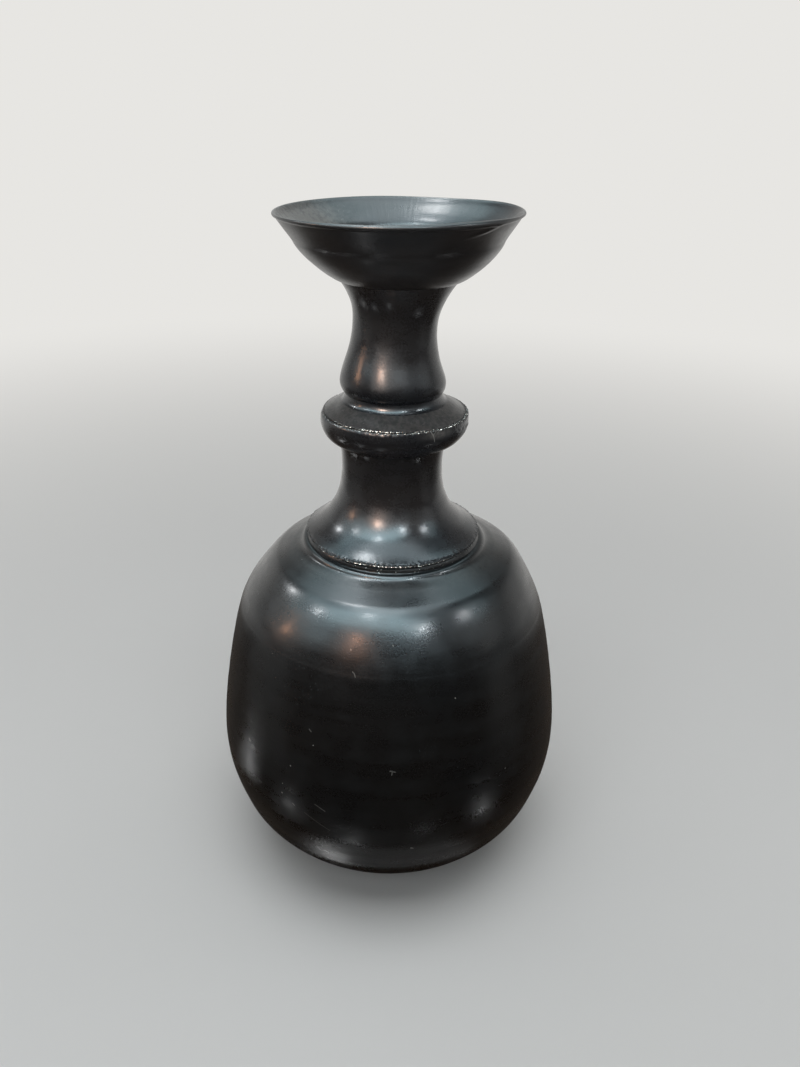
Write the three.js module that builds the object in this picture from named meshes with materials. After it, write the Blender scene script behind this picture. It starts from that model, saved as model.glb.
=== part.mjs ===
// Bud vase in burnished black pottery, built from thrown sections that are luted together.
// Millimetres, +Z up, origin at the centre of the face it stands on.
// From the table up: a turned foot ring, the wide-shouldered body, a flared lower neck whose apron
// laps over the shoulder, a knop made of a bowl and its cap, a waisted upper neck and a flared cup.
// Each section has a tenon below that enters the socket of the section under it, bedded in slip.

import * as THREE from 'three';

// Faces round the vase, and steps along each long curve and each small rounding of an outline
const facets = 40;
const bendSteps = 6;
const roundSteps = 3;

// Clay, joints and the way for the stem
const wall = 4;
const slipFilm = 0.3;
const stemBore = 8;
const tenonWall = 2.2;
const tenonLength = 2.6;
const tenonRelief = 0.5;
const edgeRound = 0.8;

// Foot ring
const footHeight = 4;
const footRadius = 29;
const footWidth = 5.5;
const footFlare = 1;
const footRebate = 1.2;

// Body: radii at its foot, hip, belly, shoulder and collar, and heights above the foot ring
const bodyHeight = 105;
const bodyFootRadius = 28;
const bodyFloor = 5;
const hipRadius = 49.8;
const hipHeight = 22;
const bellyRadius = 52.9;
const bellyHeight = 39.5;
const shoulderRadius = 45.1;
const shoulderDrop = 21;
const brinkRadius = 34.5;
const brinkDrop = 5.6;
const collarRadius = 29.9;
const collarDrop = 3.45;
const beadRadius = 26.4;
const beadDrop = 1.4;
const beadRoll = 1;
const grooveInset = 0.7;
const mouthRadius = 16.3;

// Lower neck: apron over the shoulder, waist, and the top that carries the knop
const lowerNeckHeight = 29.2;
const apronRadius = 25.3;
const apronThickness = 1.8;
const lowerWaistRadius = 14.3;
const lowerWaistHeight = 21.9;
const lowerTopRadius = 15.3;
const lowerTenonLength = 6;

// Knop: a rounded bowl, and a shallow cap that sits on its rim a little inside its edge
const knopRadius = 20.6;
const knopLowerHeight = 8.5;
const knopBulgeHeight = 6;
const knopRimDraw = 0.3;
const capRadius = 19.9;
const capEdge = 0.6;
const knopUpperHeight = 5.3;
const capPlugLength = 1.5;
const knopTopRadius = 13.5;

// Upper neck: bulge just over the knop, waist, and the top that carries the cup
const upperNeckHeight = 30;
const bulgeRadius = 14.5;
const bulgeHeight = 2.9;
const upperWaistRadius = 11.3;
const upperWaistHeight = 18.2;
const upperTopRadius = 15.7;

// Cup: its side up to where the lip turns out, and the lip
const cupHeight = 18;
const cupRadius = 29.2;
const lipDrop = 4.5;
const rimRadius = 32.5;
const rimThickness = 1.9;
const cupWall = 3.2;

// What follows from those sizes
const tenonRadius = stemBore + tenonWall;
const socketRadius = tenonRadius + slipFilm;
const socketDepth = tenonLength + tenonRelief;

// Heights of the seats above the table
const bodySeat = footHeight;
const lowerNeckSeat = bodySeat + bodyHeight;
const knopLowerSeat = lowerNeckSeat + lowerNeckHeight;
const knopUpperSeat = knopLowerSeat + knopLowerHeight;
const upperNeckSeat = knopUpperSeat + knopUpperHeight;
const cupSeat = upperNeckSeat + upperNeckHeight;

/** A closed section through the clay: x is the distance from the axis and y is the height. */
class Outline {
  constructor(radius, height) {
    this.points = [new THREE.Vector2(radius, height)];
  }

  /** The point that the outline has reached. */
  get end() {
    return this.points[this.points.length - 1];
  }

  /** Draws straight on to a point. */
  to(radius, height) {
    this.points.push(new THREE.Vector2(radius, height));
    return this;
  }

  /** Draws a long curve to a point, by way of two handles. */
  bend(radiusA, heightA, radiusB, heightB, radius, height) {
    const handleA = new THREE.Vector2(radiusA, heightA);
    const handleB = new THREE.Vector2(radiusB, heightB);
    const curve = new THREE.CubicBezierCurve(this.end, handleA, handleB, new THREE.Vector2(radius, height));
    this.points.push(...curve.getPoints(bendSteps).slice(1));
    return this;
  }

  /** Rounds the corner that two straight lines to a point would turn at. */
  round(cornerRadius, cornerHeight, radius, height) {
    const corner = new THREE.Vector2(cornerRadius, cornerHeight);
    const curve = new THREE.QuadraticBezierCurve(this.end, corner, new THREE.Vector2(radius, height));
    this.points.push(...curve.getPoints(roundSteps).slice(1));
    return this;
  }
}

const burnished = { color: 0x1a1a1c, roughness: 0.28, metalness: 0.35 };

/** Turns an outline about Z into a named section, which stands with its seat at a height. */
function thrown(name, outline, seat) {
  const geometry = new THREE.LatheGeometry(outline.points, facets);
  geometry.rotateX(Math.PI / 2);
  const section = new THREE.Mesh(geometry, new THREE.MeshStandardMaterial(burnished));
  section.name = name;
  section.position.z = seat;
  return section;
}

/** The foot ring: a low flared band with a rebate in its top that centres the body. */
function footRing() {
  const inner = footRadius - footWidth;
  const ledge = inner + footWidth / 2;
  const outline = new Outline(inner, 0)
    .to(footRadius - edgeRound, 0)
    .round(footRadius, 0, footRadius, edgeRound)
    .to(footRadius - footFlare, footHeight)
    .to(ledge, footHeight)
    .to(ledge, footHeight - footRebate)
    .to(inner, footHeight - footRebate)
    .to(inner, 0);
  return thrown('foot_ring', outline, 0);
}

/** The body: a swelling jar with a round floor, a flat seat for the neck and a bead round it. */
function body() {
  const boss = footRadius - footWidth / 2 - slipFilm;
  const bossDrop = footRebate - slipFilm;
  const seat = slipFilm;
  const shoulderHeight = bodyHeight - shoulderDrop;
  const brinkHeight = bodyHeight - brinkDrop;
  const collarHeight = bodyHeight - collarDrop;
  const bead = bodyHeight - beadDrop;
  const grooveRadius = apronRadius - grooveInset;
  const innerShoulder = shoulderRadius - wall;
  const innerBelly = bellyRadius - wall;
  const innerHip = hipRadius - wall - 0.6;
  const mouthDepth = wall + 1;
  const outline = new Outline(0, -bossDrop)
    .to(boss, -bossDrop)
    .to(boss, seat)
    .to(bodyFootRadius, seat)
    .bend(bodyFootRadius + 8, 4, hipRadius - 2.8, hipHeight - 10.4, hipRadius, hipHeight)
    .bend(hipRadius + 1.7, hipHeight + 5.2, bellyRadius, bellyHeight - 7.5, bellyRadius, bellyHeight)
    .bend(bellyRadius, bellyHeight + 12.5, shoulderRadius + 2, shoulderHeight - 4.2,
      shoulderRadius, shoulderHeight)
    .bend(shoulderRadius - 2.1, shoulderHeight + 5.5, brinkRadius + 3.5, brinkHeight - 2.8,
      brinkRadius, brinkHeight)
    .round(brinkRadius - 2.4, collarHeight - 0.45, collarRadius, collarHeight)
    .round(beadRadius + 2 * beadRoll, collarHeight + 0.4, beadRadius + beadRoll, bead - beadRoll / 2)
    .round(beadRadius + beadRoll / 2, bead, beadRadius, bead)
    .to(grooveRadius, bead)
    .to(grooveRadius, bodyHeight)
    .to(mouthRadius, bodyHeight)
    .to(mouthRadius, bodyHeight - mouthDepth)
    .bend(innerShoulder - 7, brinkHeight - 0.8, innerShoulder - 1, shoulderHeight + 6,
      innerShoulder, shoulderHeight - 3)
    .bend(innerShoulder + 2.6, shoulderHeight - 12, innerBelly, bellyHeight + 14, innerBelly, bellyHeight)
    .bend(innerBelly, bellyHeight - 9, innerHip + 2, hipHeight + 6, innerHip, hipHeight)
    .bend(innerHip - 4, hipHeight - 9, bodyFootRadius + 2, bodyFloor, bodyFootRadius - 8, bodyFloor)
    .to(0, bodyFloor);
  return thrown('body', outline, bodySeat);
}

/** The lower neck: a tenon in the body's mouth, a thin-edged apron, a waist and a socket. */
function lowerNeck() {
  const tenon = mouthRadius - slipFilm;
  const tenonBore = tenon - tenonWall;
  const seat = slipFilm;
  const top = lowerNeckHeight;
  const apronTop = seat + apronThickness;
  const outline = new Outline(tenonBore, -lowerTenonLength)
    .to(tenon, -lowerTenonLength)
    .to(tenon, seat)
    .to(apronRadius - grooveInset, seat)
    .to(apronRadius, seat + edgeRound)
    .round(apronRadius, apronTop, apronRadius - edgeRound, apronTop)
    .bend(apronRadius - 7, apronTop + 4.3, lowerWaistRadius, lowerWaistHeight - 10,
      lowerWaistRadius, lowerWaistHeight)
    .round(lowerWaistRadius, top - 2, lowerTopRadius, top)
    .to(socketRadius, top)
    .to(socketRadius, top - socketDepth)
    .to(stemBore, top - socketDepth)
    .to(stemBore, lowerWaistHeight - 4)
    .bend(stemBore, 10, tenonBore - 1, 6, tenonBore, -lowerTenonLength);
  return thrown('lower_neck', outline, lowerNeckSeat);
}

/** The lower half of the knop: a rounded bowl whose hollow takes the plug of the cap. */
function knopLower() {
  const seat = slipFilm;
  const top = knopLowerHeight;
  const rim = knopRadius - knopRimDraw;
  const hollow = knopRadius - wall;
  const plugFloor = top - capPlugLength - tenonRelief;
  const outline = new Outline(stemBore, -tenonLength)
    .to(tenonRadius, -tenonLength)
    .to(tenonRadius, seat)
    .to(lowerTopRadius, seat)
    .bend(lowerTopRadius + 3, 0.5, knopRadius - 0.2, knopBulgeHeight - 3, knopRadius, knopBulgeHeight)
    .round(knopRadius, top - 0.6, rim, top)
    .to(hollow, top)
    .to(hollow, plugFloor)
    .bend(hollow, plugFloor - 2.5, stemBore + 4, 3, stemBore, 2.5)
    .to(stemBore, -tenonLength);
  return thrown('knop_lower', outline, knopLowerSeat);
}

/** The upper half of the knop: a cap that sweeps up to the neck, with a plug inside the bowl. */
function knopUpper() {
  const seat = slipFilm;
  const top = knopUpperHeight;
  const plug = knopRadius - wall - slipFilm;
  const outline = new Outline(stemBore, -capPlugLength)
    .to(plug, -capPlugLength)
    .to(plug, seat)
    .to(capRadius, seat)
    .to(capRadius, capEdge)
    .bend(capRadius - 3.6, capEdge, knopTopRadius + 1.2, top - 0.8, knopTopRadius, top)
    .to(socketRadius, top)
    .to(socketRadius, top - socketDepth)
    .to(stemBore, top - socketDepth)
    .to(stemBore, -capPlugLength);
  return thrown('knop_upper', outline, knopUpperSeat);
}

/** The upper neck: a soft bulge, a waist and a flare that carries the cup. */
function upperNeck() {
  const seat = slipFilm;
  const top = upperNeckHeight;
  const outline = new Outline(stemBore, -tenonLength)
    .to(tenonRadius, -tenonLength)
    .to(tenonRadius, seat)
    .to(knopTopRadius, seat)
    .round(bulgeRadius, bulgeHeight / 4, bulgeRadius, bulgeHeight)
    .bend(bulgeRadius, bulgeHeight + 2.7, upperWaistRadius, upperWaistHeight - 7.4,
      upperWaistRadius, upperWaistHeight)
    .bend(upperWaistRadius, upperWaistHeight + 4, upperTopRadius - 3.5, top - 4.5, upperTopRadius, top)
    .to(socketRadius, top)
    .to(socketRadius, top - socketDepth)
    .to(stemBore, top - socketDepth)
    .to(stemBore, -tenonLength);
  return thrown('upper_neck', outline, upperNeckSeat);
}

/** The mouth cup: a deep dish with a flared, rounded lip and a hole for the stem in its floor. */
function mouthCup() {
  const seat = slipFilm;
  const top = cupHeight;
  const lipTurn = top - lipDrop;
  const lipUnder = top - rimThickness;
  const innerTurn = cupRadius - cupWall;
  const outline = new Outline(stemBore, -tenonLength)
    .to(tenonRadius, -tenonLength)
    .to(tenonRadius, seat)
    .to(upperTopRadius, seat)
    .bend(upperTopRadius + 4.9, 1.6, cupRadius - 3.6, lipTurn - 7.5, cupRadius, lipTurn)
    .round(cupRadius + 1.4, lipUnder - 1.2, rimRadius - edgeRound, lipUnder)
    .round(rimRadius, lipUnder, rimRadius, top - rimThickness / 2)
    .round(rimRadius, top, rimRadius - edgeRound, top)
    .round(cupRadius - 0.5, top - 1.5, innerTurn, lipTurn)
    .bend(innerTurn - 3, lipTurn - 7.5, stemBore + 6, 4.6, stemBore, 4)
    .to(stemBore, -tenonLength);
  return thrown('mouth_cup', outline, cupSeat);
}

const budVase = new THREE.Group();
budVase.add(
  footRing(),
  body(),
  lowerNeck(),
  knopLower(),
  knopUpper(),
  upperNeck(),
  mouthCup(),
);

export default budVase;
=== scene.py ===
"""Bud vase in burnished black pottery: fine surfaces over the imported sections.

Each section is a closed outline turned about Z. On top of that come the small faults of a pot made by
hand: a slight lean, throwing ripples, and ragged edges at the apron and at the seam of the knop.
Lengths are in millimetres here and become metres where a mesh is made.
"""
import math

import bpy
import numpy as np
from mathutils import Matrix, Vector


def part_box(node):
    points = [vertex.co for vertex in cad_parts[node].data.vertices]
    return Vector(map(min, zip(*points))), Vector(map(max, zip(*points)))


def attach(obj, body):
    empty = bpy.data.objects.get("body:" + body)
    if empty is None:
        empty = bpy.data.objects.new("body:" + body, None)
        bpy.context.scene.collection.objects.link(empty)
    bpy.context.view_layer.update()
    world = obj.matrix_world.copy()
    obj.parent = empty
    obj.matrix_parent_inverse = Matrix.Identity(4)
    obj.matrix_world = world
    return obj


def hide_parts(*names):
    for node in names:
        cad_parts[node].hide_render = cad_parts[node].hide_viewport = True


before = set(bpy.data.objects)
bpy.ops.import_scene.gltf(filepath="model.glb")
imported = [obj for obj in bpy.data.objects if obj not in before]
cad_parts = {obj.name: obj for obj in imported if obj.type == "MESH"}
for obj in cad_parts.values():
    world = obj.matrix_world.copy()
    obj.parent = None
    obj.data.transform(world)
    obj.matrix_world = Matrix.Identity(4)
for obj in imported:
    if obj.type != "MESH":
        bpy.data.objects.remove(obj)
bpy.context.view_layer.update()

MM = 0.001
TURN = 2 * math.pi

# Bearing in degrees, from X towards Y, of the side that the camera sees
front_bearing = -88


def top_of(node):
    """Height of a section's top above the table."""
    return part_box(node)[1].z / MM


def radius_of(node):
    """Greatest distance of a section from the axis."""
    low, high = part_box(node)
    return (high.x - low.x) / 2 / MM


# Seats of the sections above the table, and their greatest radii, from the frame
body_seat = top_of("foot_ring")
neck_seat = top_of("body")
bowl_seat = top_of("lower_neck")
cap_seat = top_of("knop_lower")
upper_seat = top_of("knop_upper")
cup_seat = top_of("upper_neck")
rim_top = top_of("mouth_cup")
foot_radius = radius_of("foot_ring")
belly_radius = radius_of("body")
apron_radius = radius_of("lower_neck")
bowl_radius = radius_of("knop_lower")
cap_radius = radius_of("knop_upper")
flare_radius = radius_of("upper_neck")
rim_radius = radius_of("mouth_cup")

# Clay, the open space for slip round a tenon, and how far a face stays short of its neighbour's
wall = 4
slip_film = 0.3
face_gap = 0.02

# Bores, tenons and the sockets that take them
stem_bore = 8
tenon_radius = 10.2
tenon_length = 2.6
socket_depth = 3.1
mouth_radius = 16.3

# How far the cup rises for each millimetre along X and along Y
tilt_x = 0.017
tilt_y = 0.005

# Radii of the joints that show, each shared by the section below it and the one above it
foot_joint = 28
bowl_joint = 15.3
cap_joint = 13.5


class Outline:
    """A section through the clay: distance from the axis and height above the section's seat. A
    stretch has points about one step apart, with fine steps where the surface shows."""

    def __init__(self, radius, height):
        self.rows = [np.array([[radius, height]], float)]

    @property
    def end(self):
        """The last point so far."""
        return self.rows[-1][-1]

    def add(self, curve, rough_length, step):
        """Adds a stretch of a rough length, whose points the curve gives for t from 0 to 1."""
        count = max(2, round(rough_length / step))
        t = np.linspace(0, 1, count + 1)[1:, None]
        self.rows.append(curve(t))
        return self

    def to(self, radius, height, step=1.5):
        """A straight stretch: start + t (end - start)."""
        start, end = self.end, np.array([radius, height], float)
        return self.add(lambda t: start + t * (end - start), np.linalg.norm(end - start), step)

    def bend(self, handle_a, handle_b, end, step=1.5):
        """A cubic curve by way of two handles: each point weighted by its Bernstein polynomial."""
        a, b, c, d = self.end, *(np.array(p, float) for p in (handle_a, handle_b, end))
        length = np.linalg.norm(b - a) + np.linalg.norm(c - b) + np.linalg.norm(d - c)
        return self.add(lambda t: (1 - t) ** 3 * a + 3 * (1 - t) ** 2 * t * b
                        + 3 * (1 - t) * t ** 2 * c + t ** 3 * d, length, step)

    def round(self, corner, end, step=0.15):
        """A rounded corner, a quadratic curve: (1-t)^2 start + 2 t (1-t) corner + t^2 end."""
        a, b, c = self.end, *(np.array(p, float) for p in (corner, end))
        length = np.linalg.norm(b - a) + np.linalg.norm(c - b)
        return self.add(lambda t: (1 - t) ** 2 * a + 2 * (1 - t) * t * b + t ** 2 * c, length, step)

    def socket(self, top):
        """The flat top of a section and its socket for the next tenon, as far as the stem's bore."""
        return (self.to(tenon_radius + slip_film, top - face_gap)
                .to(tenon_radius + slip_film, top - socket_depth)
                .to(stem_bore, top - socket_depth))

    @property
    def points(self):
        """All points so far, one row of radius and height each."""
        return np.concatenate(self.rows)


def tenon_outline():
    """The start of an outline with a tenon: from the stem's bore out to the face it stands on."""
    return (Outline(stem_bore, -tenon_length)
            .to(tenon_radius, -tenon_length)
            .to(tenon_radius, face_gap))


def ragged(angle, fewest, most, seed):
    """A closed random line round the pot: cosines of fewest to most waves a turn, each weighted by
    one over the root of its count, scaled to a root mean square of 1."""
    chance = np.random.default_rng(seed)
    waves = np.arange(fewest, most + 1)[:, None]
    phase = chance.uniform(0, TURN, len(waves))[:, None]
    line = (np.cos(waves * angle.reshape(-1) + phase) / np.sqrt(waves)).sum(0)
    return (line / line.std()).reshape(angle.shape)


def hill(distance, width):
    """A smooth hill, exp(-(distance / width)^2)."""
    return np.exp(-(distance / width) ** 2)


def from_angle(angle, degrees):
    """Signed turn from a bearing in degrees, between -pi and pi."""
    return (angle - math.radians(degrees) + math.pi) % TURN - math.pi


def rise(distance, width):
    """A smooth step from 0 to 1, 1 / (1 + exp(-distance / width))."""
    return 1 / (1 + np.exp(-distance / width))


def lean(height):
    """How far the axis strays along X at a height: a shoulder, a knop and a cup that were each set
    a little to the right, over a base that stands almost true."""
    return (0.15 - 0.32 * rise(height - 112, 3) + 0.6 * hill(height - 103, 8)
            + 0.59 * hill(height - 145, 6) - 0.27 * hill(height - 160, 5)
            + 1.3 * rise(height - 174, 3) - 0.5 * rise(height - 190, 3))


def cup_tilt(height):
    """Share of the cup's tilt at a height: none up to 1 mm over its seat, all of it 12 mm higher."""
    return np.clip((height - cup_seat - 1) / 12, 0, 1)


def in_scene(name, data):
    """An object for a mesh, a lamp or a camera, at the origin and linked into the scene."""
    made = bpy.data.objects.new(name, data)
    bpy.context.scene.collection.objects.link(made)
    return made


def put_mesh(name, points, faces, attributes):
    """Makes an object at the origin from points in millimetres and its faces, with point attributes."""
    mesh = bpy.data.meshes.new(name)
    mesh.from_pydata((points * MM).tolist(), [], faces)
    mesh.shade_smooth()
    sharpest_smooth = math.radians(50)
    mesh.set_sharp_from_angle(angle=sharpest_smooth)
    for key, values in attributes.items():
        mesh.attributes.new(key, "FLOAT", "POINT").data.foreach_set("value", values.astype(np.float32))
    return in_scene(name, mesh)


def ring_faces(rows, around, closed):
    """Quads between neighbouring rings of points, and from the last ring to the first if closed."""
    i = np.arange(rows if closed else rows - 1)[:, None]
    j = np.arange(around)[None, :]
    next_i, next_j = (i + 1) % rows, (j + 1) % around
    corners = [i * around + j, i * around + next_j, next_i * around + next_j, next_i * around + j]
    return np.stack(corners, -1).reshape(-1, 4).tolist()


def fan_faces(hub, first, second):
    """Triangles from one point on the axis to each pair of neighbours in a ring."""
    return np.stack([np.full_like(first, hub), first, second], -1).tolist()


def thrown(name, node, outline, seat, around, relief=None, wear=None, dust_and_sheen=None):
    """A turned section. The outline's radius r and height h, moved along their normal by relief,
    give at each angle a the point (r cos a + lean, r sin a, seat + h), which the cup's tilt then
    raises by tilt_x x + tilt_y y. An outline that starts and ends on the axis closes there in two
    fans, and any other closes on itself. wear and the grey dust, which is in places a painted sheen,
    become attributes of the skin, besides the distance along the outline and how far the skin faces the
    axis."""
    profile = outline.points
    on_axis = profile[0, 0] == 0
    if not on_axis:
        profile = profile[:-1]
    along = np.concatenate([[0], np.cumsum(np.linalg.norm(np.diff(profile, axis=0), axis=1))])
    tangent = np.roll(profile, -1, 0) - np.roll(profile, 1, 0)
    tangent /= np.linalg.norm(tangent, axis=1)[:, None]
    angle = np.linspace(0, TURN, around, endpoint=False)[None, :]
    radius, height, s = (column[:, None] for column in (*profile.T, along))
    push = 0 * radius * angle if relief is None else relief(radius, height + seat, angle, s)
    radius_moved = radius + push * tangent[:, 1][:, None]
    height_moved = height + seat - push * tangent[:, 0][:, None]
    x = radius_moved * np.cos(angle) + lean(height_moved)
    y = radius_moved * np.sin(angle)
    height_tilted = height_moved + cup_tilt(height_moved) * (tilt_x * x + tilt_y * y)
    points = np.stack([x, y, height_tilted], -1)
    layers = {"along": s, "inward": np.maximum(-tangent[:, 1], 0)[:, None], "wear": 0, "dust_and_sheen": 0}
    for key, skin in (("wear", wear), ("dust_and_sheen", dust_and_sheen)):
        if skin is not None:
            layers[key] = skin(radius, height + seat, angle)
    layers = {key: layer + 0 * push for key, layer in layers.items()}
    rows = len(profile)
    if on_axis:
        points = points[1:-1]
        layers = {key: layer[1:-1] for key, layer in layers.items()}
        rows -= 2
    faces = ring_faces(rows, around, closed=not on_axis)
    points = points.reshape(-1, 3)
    layers = {key: layer.reshape(-1) for key, layer in layers.items()}
    if on_axis:
        low, high = len(points), len(points) + 1
        ring, next_ring = np.arange(around), (np.arange(around) + 1) % around
        last = (rows - 1) * around
        faces += fan_faces(low, next_ring, ring)
        faces += fan_faces(high, last + ring, last + next_ring)
        ends = [[lean(seat), 0, seat + profile[0, 1]], [lean(seat), 0, seat + profile[-1, 1]]]
        points = np.concatenate([points, ends])
        layers = {key: np.append(layer, layer[[0, -1]]) for key, layer in layers.items()}
    piece = put_mesh(name, points, faces, layers)
    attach(piece, "root")
    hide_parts(node)
    return piece


def ripples(s, angle, wave, height):
    """Throwing ridges: two one-start spirals of unlike pitch, height (sin + 0.6 sin) along the clay."""
    return height * (np.sin(TURN * s / wave + angle) + 0.6 * np.sin(TURN * s / (wave * 1.63) - angle + 1))


def foot_ring():
    """The foot ring: a low flared band, turned to a rounded edge that it stands on."""
    inner = foot_radius - 5.5
    edge = 0.8
    top = body_seat
    outline = (Outline(inner + 0.4, 0)
               .to(foot_radius - edge, 0)
               .round((foot_radius, 0), (foot_radius, edge))
               .to(foot_joint + 0.1, top - 0.35, step=0.3)
               .round((foot_joint, top), (foot_joint - 0.3, top), step=0.08)
               .to(inner, top)
               .to(inner, 0.4)
               .round((inner, 0), (inner + 0.4, 0)))
    return thrown("foot_ring_fine", "foot_ring", outline, 0, 256)


def body():
    """The body: a swelling jar, a nearly level collar, a small rolled crest and the gallery."""
    top = neck_seat - body_seat
    hip, hip_height = 49.8, 22
    belly, belly_height = belly_radius, 39.5
    shoulder, shoulder_height = 45.1, top - 21
    brink, brink_height = 34.5, top - 5.75
    collar, collar_height = 29.9, top - 3.55
    crest, crest_height = 25.8, top - 1.3
    closing_ridge = 25.4
    gallery = apron_radius - 0.7
    inner_belly, inner_hip, inner_shoulder = belly - wall, hip - wall - 0.6, shoulder - wall
    inner_floor = 5
    fine, coarse = 0.55, 2.4
    outline = (Outline(0, face_gap)
               .to(foot_joint - 0.3, face_gap, step=4)
               .round((foot_joint, 0), (foot_joint + 0.1, 0.35), step=0.08)
               .bend((foot_joint + 8, 4), (hip - 2.8, hip_height - 10.4), (hip, hip_height), fine)
               .bend((hip + 1.7, hip_height + 5.2), (belly, belly_height - 7.5),
                     (belly, belly_height), fine)
               .bend((belly, belly_height + 12.5), (shoulder + 2, shoulder_height - 4.2),
                     (shoulder, shoulder_height), fine)
               .bend((shoulder - 2.1, shoulder_height + 5.5), (brink + 3.5, brink_height - 1.75),
                     (brink, brink_height), fine)
               .round((collar + 2, collar_height - 0.95), (collar, collar_height), step=0.3)
               .bend((collar - 1.3, collar_height + 0.6), (crest + 1.15, crest_height - 1.15),
                     (crest + 0.75, crest_height - 0.7), 0.12)
               .bend((crest + 0.5, crest_height - 0.35), (crest + 0.3, crest_height),
                     (crest - 0.1, crest_height), 0.06)
               .round((gallery + 0.1, crest_height - 0.05), (gallery, crest_height + 0.5), step=0.08)
               .to(gallery, top - face_gap, step=0.2)
               .to(mouth_radius, top - face_gap)
               .to(mouth_radius, top - wall - 1)
               .bend((inner_shoulder - 7, brink_height - 0.8), (inner_shoulder - 1, shoulder_height + 6),
                     (inner_shoulder, shoulder_height - 3), coarse)
               .bend((inner_shoulder + 2.6, shoulder_height - 12), (inner_belly, belly_height + 14),
                     (inner_belly, belly_height), coarse)
               .bend((inner_belly, belly_height - 9), (inner_hip + 2, hip_height + 6),
                     (inner_hip, hip_height), coarse)
               .bend((inner_hip - 4, hip_height - 9), (foot_joint + 2, inner_floor),
                     (foot_joint - 8, inner_floor), coarse)
               .to(0, inner_floor, step=4))

    # Where the outside starts and ends along the outline, and heights above the table from which
    # the collar and the gallery are told apart from the walls below them
    skin_start, skin_end = 33, 172
    over_collar, over_gallery = 106, 107.4

    def relief(radius, height, angle, s):
        """Ripples and a slow random swell outside, with the shoulder fuller at the right and flatter
        at the left, a collar that rises to the apron everywhere but in front, and a gritty gallery."""
        outside = rise(skin_end - s, 1.5) * rise(s - skin_start, 1.5)
        slow = 0.2 + 0.16 * ragged(angle, 2, 5, 11) * hill(height - 84, 22)
        slow += 0.6 * hill(from_angle(angle, 0), 0.7) * hill(height - 103, 4)
        slow -= 0.6 * hill(from_angle(angle, 180), 0.7) * hill(height - 99, 6)
        collar_wobble = 0.06 * ragged(angle, 2, 9, 12) * hill(height - 107, 1.6)
        closing = 1 - hill(from_angle(angle, front_bearing), 0.8)
        collar_wobble += 0.8 * closing * hill(radius - closing_ridge, 1.6) * (height > over_collar)
        grit = 0.035 * ragged(angle + s * 1.7, 60, 118, 13) * hill(radius - gallery, 0.5)
        grit = grit * (height > over_gallery)
        return outside * (ripples(s, angle, 7.3, 0.012) + slow) + collar_wobble + grit

    def wear(radius, height, angle):
        """The strip under the apron that no pebble could reach."""
        bare = 0.3 * hill(from_angle(angle, front_bearing), 0.9)
        inside_gallery = (height > over_gallery - 0.2) * (radius > 20)
        return bare * rise(gallery + 0.35 - radius, 0.08) * inside_gallery

    def dust_and_sheen(radius, height, angle):
        """The collar, a little duller than the belly, with a painted sheen: its grey lightens the dark
        that it mirrors of the neck.
        """
        return 0.12 * hill(radius - 28.5, 3) * (height > body_seat + belly_height) * (radius > 26.6)

    return thrown("body_fine", "body", outline, body_seat, 240, relief, wear, dust_and_sheen)


def lower_neck():
    """The lower neck: a waist that sweeps out to a thin, torn-edged apron over the shoulder."""
    top = bowl_seat - neck_seat
    tenon, reach = mouth_radius - slip_film, 6
    tenon_bore = tenon - 2.2
    waist, waist_height = 14.3, 21.9
    edge_low, edge_high = 1.15, 1.95
    fine = 0.3
    outline = (Outline(tenon_bore, -reach)
               .to(tenon, -reach)
               .to(tenon, face_gap)
               .to(apron_radius - 0.75, face_gap)
               .round((apron_radius - 0.7, 0.5), (apron_radius - 0.25, edge_low - 0.15), step=0.1)
               .round((apron_radius, edge_low), (apron_radius, edge_low + 0.2), step=0.06)
               .round((apron_radius, edge_high - 0.1), (apron_radius - 0.45, edge_high + 0.15), step=0.06)
               .bend((apron_radius - 7.6, edge_high + 4.4), (waist, waist_height - 10),
                     (waist, waist_height), fine)
               .round((waist, top - 2), (bowl_joint, top - face_gap), step=fine)
               .socket(top)
               .to(stem_bore, waist_height - 4)
               .bend((stem_bore, 10), (tenon_bore - 1, 6), (tenon_bore, -reach)))

    # Heights above the table of the torn edge's middle and of the lowest full ripples
    edge_height = neck_seat + 1.5
    ripples_from = 114

    def relief(radius, height, angle, s):
        """A torn and gritty edge all round the apron, and ripples on the neck above it."""
        at_edge = hill(radius - apron_radius, 0.9) * hill(height - edge_height, 0.8)
        tear = 0.09 * ragged(angle, 3, 14, 21) + 0.06 * ragged(angle, 24, 190, 22)
        grit = 0.05 * ragged(angle + s * 0.7, 60, 210, 23)
        outside = hill(np.minimum(height - ripples_from, 0), 1.5) * (radius > 13.9)
        return at_edge * (tear + grit) + outside * ripples(s, angle, 5.1, 0.01)

    def wear(radius, height, angle):
        """The torn edge, barest in front, and a little of its underside there."""
        front = hill(from_angle(angle, front_bearing), 0.9)
        torn = hill(radius - apron_radius, 0.3) * hill(height - neck_seat - edge_low - 0.1, 0.26)
        under = 0.3 * hill(radius - apron_radius + 0.5, 0.35) * hill(height - neck_seat - 0.4, 0.5)
        return np.maximum((0.3 + 0.7 * front) * torn, front * under)

    return thrown("lower_neck_fine", "lower_neck", outline, neck_seat, 448, relief, wear)


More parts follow.
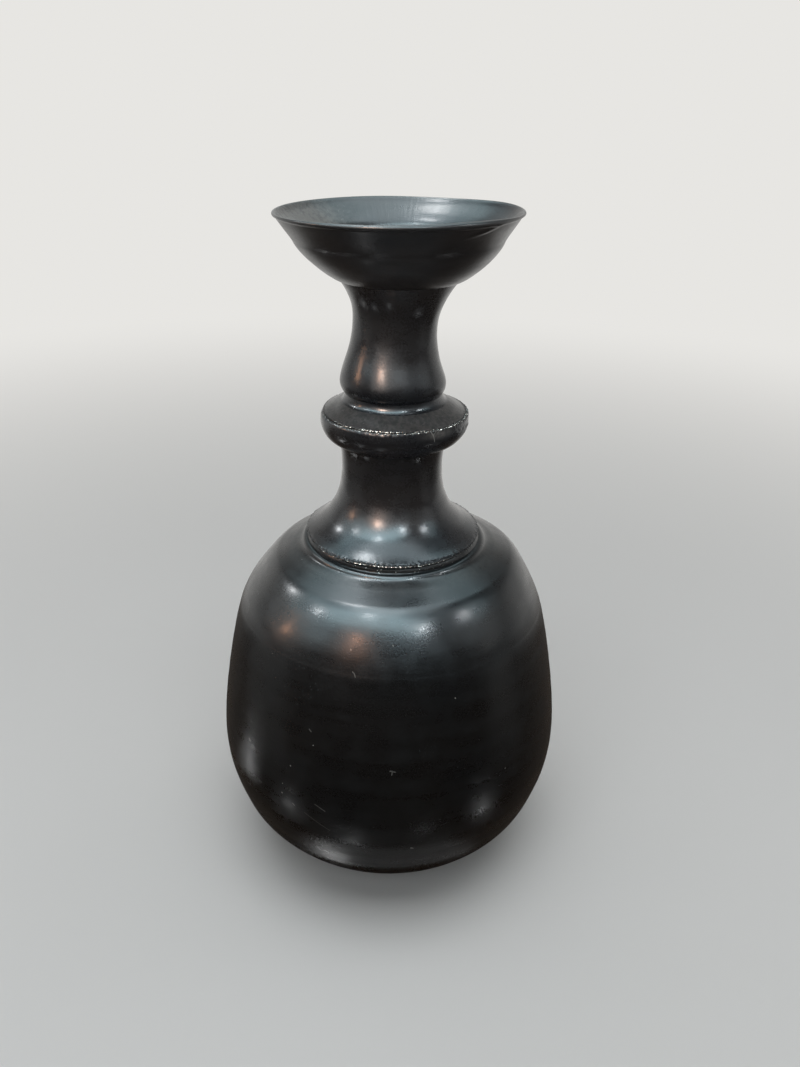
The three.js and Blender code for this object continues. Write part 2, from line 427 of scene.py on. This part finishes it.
def knop_bowl():
    """The lower half of the knop: a rounded bowl whose rim stands just proud of the cap."""
    top = cap_seat - bowl_seat
    widest, rim, hollow = 6, bowl_radius - 0.3, bowl_radius - wall
    fine = 0.2
    outline = (tenon_outline()
               .to(bowl_joint, face_gap)
               .bend((bowl_joint + 3, 0.3), (bowl_radius - 0.2, widest - 3), (bowl_radius, widest), fine)
               .round((bowl_radius, top - 0.6), (rim, top - 0.12), step=fine)
               .round((rim - 0.05, top), (rim - 0.2, top - face_gap), step=0.05)
               .to(hollow, top - face_gap)
               .to(hollow, top - 2)
               .bend((hollow, top - 4.5), (stem_bore + 4, 3), (stem_bore, 2.5))
               .to(stem_bore, -tenon_length))

    def relief(radius, height, angle, s):
        """A chipped rim that lies flush at the left and stands proud in front and to the right, a
        slow swell of the bowl, and dents at the right."""
        at_rim = hill(height - cap_seat, 0.7) * hill(radius - rim, 0.9)
        flush = -0.55 * hill(from_angle(angle, 180), 1.1)
        proud = 0.2 * hill(from_angle(angle, -20), 0.8)
        chips = 0.06 * ragged(angle, 30, 200, 31)
        swell = 0.12 * ragged(angle, 2, 6, 32) * hill(height - bowl_seat - 5, 3)
        dents = 0.07 * ragged(angle + s * 0.4, 24, 80, 33) * hill(from_angle(angle, -12), 0.45)
        return at_rim * (flush + proud + chips) + swell + dents * hill(height - bowl_seat - 6, 2)

    def wear(radius, height, angle):
        """The rim."""
        return 0.8 * hill(height - cap_seat, 0.24) * hill(radius - rim, 0.5)

    def dust_and_sheen(radius, height, angle):
        """A scuffed smear at the right, below the seam."""
        smear = 0.7 * hill(from_angle(angle, -56), 0.2) * hill(height - cap_seat + 1.1, 1.0)
        return smear * (radius > 18)

    return thrown("knop_bowl_fine", "knop_lower", outline, bowl_seat, 480, relief, wear, dust_and_sheen)


def knop_cap():
    """The upper half of the knop: a shallow cap that sweeps up to the neck from its rough lower edge."""
    top = upper_seat - cap_seat
    plug, plug_length = bowl_radius - wall - slip_film, 1.5
    edge_radius, edge = cap_radius + 0.02, 0.3
    fine = 0.16
    outline = (Outline(stem_bore, -plug_length)
               .to(plug, -plug_length)
               .to(plug, face_gap)
               .to(cap_radius - 0.25, face_gap)
               .round((edge_radius, 0.04), (edge_radius, 0.15), step=0.06)
               .round((edge_radius, edge), (cap_radius - 0.5, edge + 0.12), step=0.06)
               .bend((cap_radius - 2.2, 1.25), (cap_joint + 2.8, 2.2), (cap_joint + 1.6, 2.75), fine)
               .bend((cap_joint + 0.7, 3.1), (cap_joint + 0.1, 3.9), (cap_joint, top - face_gap), fine)
               .socket(top)
               .to(stem_bore, -plug_length))

    def relief(radius, height, angle, s):
        """A wandering, gritty edge and a soft unevenness of the cap."""
        at_edge = hill(radius - cap_radius, 0.6) * hill(height - cap_seat - edge, 0.45)
        grit = 0.04 * ragged(angle + s * 1.3, 50, 300, 41) + 0.02 * ragged(angle - s * 0.9, 50, 300, 42)
        wander = 0.08 * ragged(angle, 2, 8, 43)
        soft = 0.09 * ragged(angle + s * 0.1, 3, 9, 44) * hill(radius - 17, 2.5)
        return at_edge * (grit + wander) + soft

    def wear(radius, height, angle):
        """The worn edge: real wear, with its bare clay and sparkle made strongest on the lit side, in
        front and to the left, as painted glints.
        """
        lit = 0.25 + 0.85 * hill(from_angle(angle, -98), 0.75)
        return lit * hill(radius - cap_radius, 0.22) * hill(height - cap_seat - 0.15, 0.2)

    def dust_and_sheen(radius, height, angle):
        """The whole cap outside the neck's foot, a little more in front: grey dust, and a painted sheen
        that lightens the dark it mirrors of the neck and cup, most in front.
        """
        front = hill(from_angle(angle, front_bearing), 0.7)
        return (0.4 + 0.15 * front) * (radius > cap_joint + 1.2) * (height > cap_seat + edge)

    return thrown("knop_cap_fine", "knop_upper", outline, cap_seat, 640, relief, wear, dust_and_sheen)


def upper_neck():
    """The upper neck: a soft bulge over a groove, a waist, and a flare that carries the cup."""
    top = cup_seat - upper_seat
    bulge, bulge_height = 14.5, 2.9
    waist, waist_height = 11.3, 18.2
    fine = 0.3
    outline = (tenon_outline()
               .to(cap_joint, face_gap)
               .bend((cap_joint, 0.4), (bulge, 0.7), (bulge, bulge_height), fine)
               .bend((bulge, bulge_height + 2.7), (waist, waist_height - 7.4),
                     (waist, waist_height), fine)
               .bend((waist, waist_height + 4), (flare_radius - 3.5, top - 4.5),
                     (flare_radius, top - face_gap), fine)
               .socket(top)
               .to(stem_bore, -tenon_length))

    def relief(radius, height, angle, s):
        """Ripples and a slow swell outside, fading out towards both joints."""
        outside = (radius > 10.9) * hill(np.minimum(height - upper_seat - 3, 0), 1.5)
        outside = outside * hill(np.maximum(height - cup_seat + 4, 0), 1.5)
        return outside * (ripples(s, angle, 6.1, 0.01) + 0.05 * ragged(angle, 2, 5, 51))

    return thrown("upper_neck_fine", "upper_neck", outline, upper_seat, 320, relief)


def mouth_cup():
    """The mouth cup: a flared dish with a thin rounded lip and a soft fold under it on one side."""
    top = rim_top - cup_seat
    lip = rim_radius - 0.5
    lip_top, lip_under = top - 1.0, top - 2.3
    side, side_height = 27, 9.8
    inner, inner_height = side - 3.3, side_height + 0.6
    fine = 0.35
    outline = (tenon_outline()
               .to(flare_radius, face_gap)
               .bend((flare_radius + 2, 0), (side - 1.4, side_height - 3.6), (side, side_height), fine)
               .bend((side + 0.45, side_height + 1.15), (lip - 2, lip_under - 1.65),
                     (lip - 0.7, lip_under), fine)
               .round((lip, lip_under + 0.2), (lip, lip_top - 0.6), step=0.1)
               .round((lip, lip_top), (lip - 0.7, lip_top), step=0.1)
               .round((lip - 1.1, lip_top), (lip - 1.8, lip_top - 0.8), step=0.1)
               .bend((lip - 3.2, lip_top - 2.4), (inner + 0.8, inner_height + 2),
                     (inner, inner_height), fine)
               .bend((inner - 2.6, inner_height - 6), (stem_bore + 6, 4.9), (stem_bore + 0.6, 4.3), fine)
               .round((stem_bore, 4.2), (stem_bore, 3.5))
               .to(stem_bore, -tenon_length))

    def relief(radius, height, angle, s):
        """A wave in the lip, a slanting fold under it at the right, and ripples outside."""
        near_rim = hill(np.minimum(height - rim_top + 2, 0), 2.2)
        wave = 0.14 * ragged(angle, 2, 5, 61) * near_rim * (radius > 24)
        outside = (radius > 15.5) * hill(np.minimum(height - cup_seat - 2, 0), 1)
        turn = from_angle(angle, -50)
        fold_height = rim_top - 3.2 + 8 * turn
        fold = 0.25 * hill(turn, 0.14) * hill(height - fold_height, 0.45) * (radius > 29)
        return wave + fold + outside * ripples(s, angle, 5.7, 0.01)

    def wear(radius, height, angle):
        """The crown of the lip, slightly."""
        return 0.3 * hill(radius - lip + 1.4, 0.35) * hill(height - rim_top + 0.6, 0.35)

    def dust_and_sheen(radius, height, angle):
        """The dull patch inside, to the left."""
        patch = hill(from_angle(angle, 165), 0.55) * hill(radius - 26, 5)
        return 1.6 * patch * (height > cup_seat + 4.6 + 0.45 * (radius - 14))

    return thrown("mouth_cup_fine", "mouth_cup", outline, cup_seat, 360, relief, wear, dust_and_sheen)


class Finish:
    """A material whose patterns are worked out by nodes from Object coordinates and attributes."""

    def __init__(self, name):
        self.material = bpy.data.materials.new(name)
        self.material.use_nodes = True
        self.tree = self.material.node_tree
        self.shader = self.tree.nodes["Principled BSDF"]

    def plug(self, value, socket):
        """Links a node's output to a socket, or sets a plain value on it."""
        if isinstance(value, bpy.types.NodeSocket):
            self.tree.links.new(value, socket)
        else:
            socket.default_value = value

    def node(self, kind, inputs=(), **settings):
        """A node with its settings, and its inputs given by name or number."""
        made = self.tree.nodes.new(kind)
        for key, value in settings.items():
            setattr(made, key, value)
        for key, value in dict(inputs).items():
            self.plug(value, made.inputs[key])
        return made

    def math(self, operation, a, b=0.0, clamp=False):
        """A sum on one or two plain values."""
        return self.node("ShaderNodeMath", {0: a, 1: b}, operation=operation, use_clamp=clamp).outputs[0]

    def vector(self, operation, a, b=(0, 0, 0)):
        """A sum on vectors that gives a vector."""
        return self.node("ShaderNodeVectorMath", {0: a, 1: b}, operation=operation).outputs[0]

    def attribute(self, name):
        """A value that the points of a mesh carry."""
        return self.node("ShaderNodeAttribute", attribute_name=name).outputs["Fac"]

    def noise(self, place, scale, detail=2.0, rough=0.5):
        """Smooth random clouds from 0 to 1, one of them about 1 / scale across."""
        sockets = {"Vector": place, "Scale": scale, "Detail": detail, "Roughness": rough}
        return self.node("ShaderNodeTexNoise", sockets).outputs["Fac"]

    def dots(self, place, scale, size):
        """Sparse dots: 1 where the nearest random point is closer than size, of a cell of 1 / scale."""
        cells = self.node("ShaderNodeTexVoronoi", {"Vector": place, "Scale": scale}).outputs["Distance"]
        return self.between(cells, size, size * 0.55)

    def between(self, value, low, high, start=0.0, end=1.0):
        """A smooth step that gives start at low and end at high."""
        sockets = {"Value": value, "From Min": low, "From Max": high, "To Min": start, "To Max": end}
        return self.node("ShaderNodeMapRange", sockets, interpolation_type="SMOOTHSTEP").outputs["Result"]

    def from_line(self, place, a, b):
        """How far a place is from the line between points a and b."""
        away = self.vector("SUBTRACT", place, a)
        along_line = {0: away, 1: b - a}
        reach = self.node("ShaderNodeVectorMath", along_line, operation="DOT_PRODUCT").outputs["Value"]
        share = self.math("DIVIDE", reach, max((b - a).length_squared, 0.01), clamp=True)
        part_way = {0: b - a, "Scale": share}
        nearest = self.node("ShaderNodeVectorMath", part_way, operation="SCALE").outputs[0]
        apart = {0: away, 1: nearest}
        return self.node("ShaderNodeVectorMath", apart, operation="DISTANCE").outputs["Value"]

    def blend(self, share, a, b):
        """Colour a turning into colour b as share goes from 0 to 1."""
        mixer = self.node("ShaderNodeMix", {"Factor": share}, data_type="RGBA")
        self.plug(a, mixer.inputs[6])
        self.plug(b, mixer.inputs[7])
        return mixer.outputs[2]

    def bump(self, height, depth, normal=None):
        """Tilts the surface by a height pattern whose full range is depth, in millimetres."""
        sockets = {"Height": height, "Strength": 1.0, "Distance": depth * MM}
        if normal is not None:
            sockets["Normal"] = normal
        return self.node("ShaderNodeBump", sockets).outputs["Normal"]


# Colours of what lies on the clay or shows through it
soot = (0.001, 0.001, 0.001, 1)
pale_mica = (0.42, 0.42, 0.40, 1)
# The pale grey below is real dust, and on the collar and the cap also a painted sheen
grey_dust_and_sheen = (0.15, 0.138, 0.128, 1)
pale_scratch = (0.30, 0.29, 0.27, 1)
raw_clay = (0.022, 0.016, 0.013, 1)
pale_grit = (0.85, 0.83, 0.79, 1)

# Radius at which bearings are unrolled for the scratches
unrolled_radius = 50


def scratches(clay, spot, marks):
    """How far scratches pale the clay. Each of marks is a line between two places, given as bearing
    in degrees and height in millimetres, with its half width and how pale it is."""
    x, y, z = clay.node("ShaderNodeSeparateXYZ", {0: spot}).outputs
    round_the_pot = clay.math("MULTIPLY", clay.math("ARCTAN2", y, x), unrolled_radius)
    unrolled = clay.node("ShaderNodeCombineXYZ", {"X": round_the_pot, "Y": z}).outputs[0]
    scratched = 0.0
    for *ends, half_width, paleness in marks:
        a, b = (Vector((math.radians(turn) * unrolled_radius, height, 0)) for turn, height in ends)
        line = clay.between(clay.from_line(unrolled, a, b), half_width, half_width * 0.4, 0, paleness)
        scratched = clay.math("MAXIMUM", scratched, line)
    return scratched


def burnished_clay(name, tone=1.0, grit_depth=0.03, strokes=0.0, gloss=0.0, marks=()):
    """Carbon-smoked clay rubbed to a gunmetal lustre: smoke clouds, burnish bands that run round the
    pot, a fine grain, dark specks and pits, scattered mica, grey dust that is in places a painted
    sheen, with hairlines, scratches, and pale grit where an edge is worn. tone makes the clay greyer,
    grit_depth is how deep the fine grain is, in millimetres, strokes adds the rays that a pebble
    leaves inside the cup, gloss takes off roughness, and marks are the scratches."""
    clay = Finish(name)
    place = clay.node("ShaderNodeTexCoord").outputs["Object"]
    spot = clay.vector("MULTIPLY", place, (1 / MM, 1 / MM, 1 / MM))
    flat = clay.vector("MULTIPLY", place, (1, 1, 0))
    bearing = clay.vector("NORMALIZE", flat)
    along = clay.attribute("along")
    worn = clay.attribute("wear")

    def lanes(round_scale, along_scale):
        """Coordinates that follow the surface: slow round the pot and fast along its outline."""
        climb = clay.math("MULTIPLY", along, along_scale)
        up = clay.node("ShaderNodeCombineXYZ", {"Z": climb}).outputs[0]
        scaled = clay.vector("MULTIPLY", bearing, (round_scale, round_scale, 0))
        return clay.vector("ADD", scaled, up)

    clouds = clay.noise(spot, 0.028, 3.0)
    bands = clay.noise(lanes(1.6, 0.3), 1.0, 3.0)
    lines = clay.noise(lanes(5.0, 2.2), 1.0, 2.0)
    grain = clay.noise(spot, 1.9, 2.0, 0.65)
    speckled = clay.between(clay.noise(spot, 0.09, 2.0), 0.5, 0.62)
    specks = clay.math("MULTIPLY", clay.dots(spot, 0.9, 0.16), speckled)
    patches = clay.noise(spot, 0.16, 2.0)
    mica = clay.dots(spot, 0.11, 0.024)
    dust_and_sheen = clay.attribute("dust_and_sheen")
    curls = clay.math("ABSOLUTE", clay.math("SUBTRACT", clay.noise(spot, 0.5, 1.0), 0.5))
    hairlines = clay.math("MULTIPLY", clay.between(curls, 0.012, 0.003), clay.between(dust_and_sheen, 0.1, 0.3))
    # Grey over the clay: real dust, and on the collar and the cap a painted sheen
    dust_and_sheen_cover = clay.math("MULTIPLY", dust_and_sheen, clay.between(clay.noise(spot, 0.8, 3.0), 0.35, 0.65, 0.6, 1.2))
    pits = clay.dots(clay.vector("ADD", spot, (37, 11, 5)), 0.075, 0.03)
    grit = clay.math("ADD", clay.noise(spot, 2.6, 1.0), clay.math("MULTIPLY", worn, 0.25))
    raw = clay.between(worn, 0.12, 0.4)
    sparkle = clay.math("MULTIPLY", clay.between(worn, 0.05, 0.2), clay.between(grit, 0.775, 0.84))

    cold = (0.0015 * tone, 0.0019 * tone, 0.0026 * tone, 1)
    warm = (0.0042 * tone, 0.0035 * tone, 0.0034 * tone, 1)
    smoke = clay.blend(clay.between(clouds, 0.35, 0.65), cold, warm)
    dark = clay.math("MAXIMUM", pits, specks)
    smoke = clay.blend(clay.math("MULTIPLY", dark, 0.8), smoke, soot)
    smoke = clay.blend(clay.math("MULTIPLY", mica, 0.75), smoke, pale_mica)
    smoke = clay.blend(clay.math("MINIMUM", dust_and_sheen_cover, 1), smoke, grey_dust_and_sheen)
    smoke = clay.blend(clay.math("MULTIPLY", hairlines, 0.25), smoke, pale_scratch)
    smoke = clay.blend(raw, smoke, raw_clay)
    smoke = clay.blend(scratches(clay, spot, marks), smoke, pale_scratch)
    smoke = clay.blend(sparkle, smoke, pale_grit)
    clay.plug(smoke, clay.shader.inputs["Base Color"])

    rough = clay.between(bands, 0.3, 0.7, 0.29 - gloss, 0.37 - gloss)
    rough = clay.math("ADD", rough, clay.between(grain, 0.3, 0.7, -0.03, 0.04))
    rough = clay.math("ADD", rough, clay.between(patches, 0.4, 0.7, 0.0, 0.07))
    rough = clay.math("ADD", rough, clay.math("MULTIPLY", dust_and_sheen, 0.2))
    rough = clay.math("ADD", rough, clay.math("MULTIPLY", raw, 0.3), clamp=True)
    clay.plug(rough, clay.shader.inputs["Roughness"])
    clay.plug(sparkle, clay.shader.inputs["Metallic"])

    normal = clay.bump(lines, 0.006)
    normal = clay.bump(grain, grit_depth, normal)
    normal = clay.bump(bands, 0.05, normal)
    normal = clay.bump(clay.math("MULTIPLY", dark, -1.0), grit_depth * 1.3, normal)
    normal = clay.bump(clay.math("MULTIPLY", raw, clay.noise(spot, 2.6, 2.0)), 0.25, normal)
    if strokes:
        round_the_cup = clay.vector("MULTIPLY", bearing, (30, 30, 0))
        slow_drift = clay.vector("MULTIPLY", spot, (0.03, 0.03, 0.06))
        rays = clay.noise(clay.vector("ADD", round_the_cup, slow_drift), 1.0, 3.0, 0.6)
        inside = clay.between(clay.attribute("inward"), 0.1, 0.4)
        normal = clay.bump(clay.math("MULTIPLY", inside, clay.between(rays, 0.35, 0.65)), strokes, normal)
    clay.plug(normal, clay.shader.inputs["Normal"])

    clay.shader.inputs["IOR"].default_value = 1.38
    clay.shader.inputs["Specular Tint"].default_value = (0.84, 0.93, 1.0, 1)
    clay.shader.inputs["Coat Weight"].default_value = 0.3
    clay.shader.inputs["Coat Roughness"].default_value = 0.2
    clay.shader.inputs["Coat IOR"].default_value = 1.45
    return clay.material


def dress(piece, material):
    """Gives a piece its material and gives the piece back."""
    piece.data.materials.append(material)
    return piece


# The scratches and small bright flecks that the photo shows
body_marks = (
    ((-141.3, 56.6), (-140.9, 56.3), 0.5, 0.6),
    ((-89.4, 61.9), (-87.8, 61.6), 0.22, 0.35),
    ((-88.7, 61.9), (-88.9, 60.7), 0.22, 0.3),
    ((-102.6, 88.8), (-101.9, 88.3), 0.2, 0.4),
    ((-101.9, 88.3), (-101.5, 87.6), 0.2, 0.4),
    ((-115.9, 70.3), (-115.2, 69.8), 0.25, 0.35),
    ((-120.5, 44.7), (-119.9, 44.3), 0.25, 0.4),
    ((-112.6, 47.5), (-109.2, 46.1), 0.16, 0.3),
    ((-116.2, 43.2), (-107.8, 39.2), 0.14, 0.2),
    ((-82.5, 34.5), (-81.9, 34.3), 0.35, 0.35),
    ((-68.3, 81.3), (-68.2, 81.2), 0.22, 0.9),
    ((-88.9, 95.8), (-88.8, 95.7), 0.22, 0.9),
    ((-104.2, 94.0), (-104.1, 93.9), 0.22, 0.8),
    ((-124.8, 46.7), (-124.6, 46.6), 0.22, 0.9),
    ((-121.8, 57.1), (-121.7, 57.0), 0.22, 0.8),
)
knop_marks = (
    ((-61.0, 146.3), (-59.6, 145.6), 0.35, 0.8),
    ((-57.6, 146.5), (-59.6, 145.6), 0.25, 0.6),
    ((-59.6, 145.6), (-58.4, 143.9), 0.3, 0.8),
)
plain_clay = burnished_clay("burnished_clay")
neck_clay = burnished_clay("burnished_neck_clay", tone=5.5, grit_depth=0.012, gloss=0.08)
cup_clay = burnished_clay("burnished_cup_clay", tone=4.5, grit_depth=0.02, strokes=0.02)
body_clay = burnished_clay("burnished_body_clay", gloss=0.04, marks=body_marks)
knop_clay = burnished_clay("burnished_knop_clay", tone=6, grit_depth=0.012, gloss=0.1, marks=knop_marks)
dress(foot_ring(), plain_clay)
jar = dress(body(), body_clay)
dress(knop_bowl(), knop_clay)
cap = dress(knop_cap(), neck_clay)
dress(lower_neck(), neck_clay)
dress(upper_neck(), neck_clay)
dress(mouth_cup(), cup_clay)

# The sections that these surfaces stand for keep the same finish, out of sight
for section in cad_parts.values():
    section.data.materials.clear()
    section.data.materials.append(plain_clay)


def disc(name, radius):
    """A flat round floor: one fan of points at a radius round the origin."""
    angle = np.linspace(0, TURN, 96, endpoint=False)
    points = np.stack([radius * np.cos(angle), radius * np.sin(angle), 0 * angle], -1)
    mesh = bpy.data.meshes.new(name)
    mesh.from_pydata(points.tolist(), [], [list(range(len(points)))])
    stage = in_scene(name, mesh)
    return stage


# The backdrop, the paper floor, and the floor as the clay mirrors it close by
pale = (0.80, 0.79, 0.765, 1)
white_paper = (0.76, 0.755, 0.74, 1)
dark_table = (0.065, 0.042, 0.026, 1)


def floor_paper():
    """Pale paper with the vase's shadow on it. Far off, and towards the back for what the clay
    mirrors, it turns to the backdrop's own colour. Close by, what the clay mirrors of it is dim and
    a little glossy, as the dark table under the real vase is."""
    paper = Finish("paper")
    place = paper.node("ShaderNodeTexCoord").outputs["Object"]
    back = paper.node("ShaderNodeSeparateXYZ", {0: place}).outputs["Y"]
    away = paper.node("ShaderNodeVectorMath", {0: place}, operation="LENGTH").outputs["Value"]
    path = paper.node("ShaderNodeLightPath").outputs
    mirrored = paper.math("MAXIMUM", path["Is Glossy Ray"], path["Is Transmission Ray"])
    far_off = paper.math("MULTIPLY", path["Is Camera Ray"], paper.between(away, 0.12, 0.8))
    behind = paper.math("MULTIPLY", mirrored, paper.between(back, 0.12, 0.3))
    colour = paper.blend(mirrored, white_paper, dark_table)
    paper.plug(colour, paper.shader.inputs["Base Color"])
    paper.plug(paper.between(mirrored, 0, 1, 0.7, 0.06), paper.shader.inputs["Roughness"])
    paper.plug(paper.between(mirrored, 0, 1, 1.45, 1.7), paper.shader.inputs["IOR"])
    glow = paper.node("ShaderNodeEmission", {"Color": pale}).outputs[0]
    share = paper.math("MAXIMUM", far_off, behind)
    mixed = paper.node("ShaderNodeMixShader", {0: share, 1: paper.shader.outputs[0], 2: glow}).outputs[0]
    paper.plug(mixed, paper.tree.nodes["Material Output"].inputs["Surface"])
    return paper.material


floor = dress(disc("floor", 6.0), floor_paper())


def front_card():
    """A dark card that stands behind the camera. Only what the clay mirrors shows it, as the person
    with the camera shows in the real vase: it keeps the belly dark under the bright shoulder."""
    across, near, top = 0.7, -0.30, 0.26
    mesh = bpy.data.meshes.new("front_card")
    mesh.from_pydata([(-across, near, 0), (across, near, 0), (across, near, top), (-across, near, top)],
                     [], [(0, 1, 2, 3)])
    card = in_scene("front_card", mesh)
    card.visible_camera = card.visible_diffuse = card.visible_shadow = False
    dark = Finish("dark_card")
    dark.shader.inputs["Base Color"].default_value = (0.01, 0.01, 0.01, 1)
    dark.shader.inputs["Emission Color"].default_value = (1.0, 0.85, 0.75, 1)
    dark.shader.inputs["Emission Strength"].default_value = 0.12
    return dress(card, dark.material)


front_card()


class Backdrop(Finish):
    """The world's own nodes, handled as a finish is: pale to the camera on every side. For light and
    reflections a low pale wall stands behind the vase, a little to the right, with a dim wall over
    it, and what the clay mirrors in front and at the sides is a dim room with a pale band at the
    height of its far walls."""

    def __init__(self, name):
        self.world = bpy.data.worlds.new(name)
        self.world.use_nodes = True
        self.tree = self.world.node_tree
        self.shader = self.tree.nodes["Background"]
        compass = self.node("ShaderNodeTexCoord").outputs["Generated"]
        wall = {0: compass, 1: (0.15, 0.99, 0)}
        towards_wall = self.node("ShaderNodeVectorMath", wall, operation="DOT_PRODUCT").outputs["Value"]
        climb = self.node("ShaderNodeSeparateXYZ", {0: compass}).outputs["Z"]
        path = self.node("ShaderNodeLightPath").outputs
        low_wall = self.between(climb, 0.2, 0.45, 1.0, 0.35)
        glow = self.math("MULTIPLY", self.between(towards_wall, -0.05, 0.6, 0.08, 1.0), low_wall)
        band = self.math("MULTIPLY", self.between(climb, 0.02, 0.12), self.between(climb, 0.6, 0.4))
        room = self.math("MULTIPLY", path["Is Glossy Ray"], self.between(towards_wall, 0.4, 0.0))
        band = self.math("MULTIPLY", band, self.math("MULTIPLY", room, 1.3))
        strength = self.math("MAXIMUM", path["Is Camera Ray"], self.math("MAXIMUM", glow, band))
        self.plug(pale, self.shader.inputs["Color"])
        self.plug(strength, self.shader.inputs["Strength"])


bpy.context.scene.world = Backdrop("backdrop").world


# How high the lamps point, and how far off the glints stand, in metres
vase_middle = 0.1
glint_distance = 1.2


def softbox(name, width, height, brightness, place, colour=(1, 1, 1)):
    """A flat lamp in metres that faces the vase. Its power is pi times brightness times its area."""
    lamp = bpy.data.lights.new(name, "AREA")
    lamp.shape = "RECTANGLE"
    lamp.size, lamp.size_y = width, height
    lamp.energy = math.pi * width * height * brightness
    lamp.color = colour
    holder = in_scene(name, lamp)
    holder.location = place
    aim = Vector((0, 0, vase_middle)) - Vector(place)
    holder.rotation_euler = aim.to_track_quat("-Z", "Y").to_euler()
    return holder


def skipped(name, pieces):
    """A receiver collection for lamps that pass these pieces by and light everything else."""
    receivers = bpy.data.collections.new(name)
    for piece in pieces:
        receivers.objects.link(piece)
    for entry in receivers.collection_objects:
        entry.light_linking.link_state = "EXCLUDE"
    return receivers


def sheen(name, width, height, brightness, place, receivers, colour=(0.70, 0.95, 1.0)):
    """A lamp for the clay's lustre alone: it lights no matt surface, and of the pieces only those
    that its receiver collection lets in, or all where it has none."""
    holder = softbox(name, width, height, brightness, place, colour)
    holder.visible_diffuse = False
    holder.light_linking.receiver_collection = receivers


def glint(name, bearing, elevation, brightness, size=(0.09, 0.09), colour=(1, 1, 1), receivers=None):
    """A small sheen that shows as a highlight: bearing in degrees to the right of the front,
    elevation in degrees above the middle of the vase."""
    across, climb = math.radians(bearing), math.radians(elevation)
    place = (glint_distance * math.sin(across) * math.cos(climb),
             -glint_distance * math.cos(across) * math.cos(climb),
             vase_middle + glint_distance * math.sin(climb))
    sheen(name, *size, brightness, place, receivers, colour)


but_floor = skipped("all_but_the_floor", [floor])
but_jar = skipped("all_but_floor_and_body", [floor, jar])
but_cap = skipped("all_but_floor_and_cap", [floor, cap])
only_jar = bpy.data.collections.new("body_alone")
only_jar.objects.link(jar)

softbox("overhead", 1.2, 0.9, 2.7, (0.0, -0.15, 1.3), (0.95, 0.98, 1.0))
softbox("front_high", 1.4, 0.4, 1.8, (-0.1, -0.85, 0.85), (0.92, 0.97, 1.0))
sheen("sheen_ceiling", 1.9, 1.5, 2.3, (-0.15, 0.08, 1.15), but_cap)
sheen("sheen_shoulder", 0.6, 0.4, 6.5, (-0.16, -0.36, 1.1), only_jar, (0.85, 0.97, 1.0))
sheen("sheen_front", 1.3, 0.35, 8.0, (-0.2, -0.66, 0.88), but_floor)
sheen("sheen_left", 0.8, 0.6, 2.0, (-0.85, -0.25, 0.75), but_floor)
sheen("sheen_right", 0.4, 0.4, 1.8, (0.85, -0.2, 0.7), but_floor)
sheen("sheen_necks", 0.5, 0.1, 2.0, (-0.03, -0.285, 0.24), but_jar, (1.0, 0.96, 0.92))
glint("spot_middle", 24, 40, 110)
glint("spot_right", 66, 36, 90)
glint("spot_high", -29, 54, 90)
glint("spot_left", -70, 37, 90)
glint("spot_far_left", -104, 29, 90)
glint("spot_near", -84, 71, 38, (0.2, 0.2))
glint("spot_cup", -152, 67, 28, (0.2, 0.2))
glint("warm_middle", -29, 27, 80, (0.08, 0.16), (1.0, 0.5, 0.3), but_floor)
glint("warm_left", -82, 14, 40, (0.07, 0.14), (1.0, 0.5, 0.28), but_floor)
glint("warm_necks", -24, 29, 60, (0.2, 0.26), (1.0, 0.72, 0.58), but_jar)

# The camera: places in metres, turns in radians from degrees, focal length in millimetres
camera_distance = 0.2294
camera_height = 0.2231
pitch = math.radians(26.66)
yaw = math.radians(0.63)
roll = math.radians(1.12)
focal_length = 29.02

lens = bpy.data.cameras.new("camera")
lens.sensor_width = 36
lens.lens = focal_length
lens.clip_start = 0.01
camera = in_scene("camera", lens)
forward = Vector((math.sin(yaw) * math.cos(pitch), math.cos(yaw) * math.cos(pitch), -math.sin(pitch)))
right = Vector((math.cos(yaw), -math.sin(yaw), 0))
up = right.cross(forward)
right_rolled = math.cos(roll) * right + math.sin(roll) * up
up_rolled = -math.sin(roll) * right + math.cos(roll) * up
turned = Matrix((right_rolled, up_rolled, -forward)).transposed()
camera.matrix_world = Matrix.Translation((0, -camera_distance, camera_height)) @ turned.to_4x4()
bpy.context.scene.camera = camera

bpy.context.scene.view_settings.view_transform = "Standard"
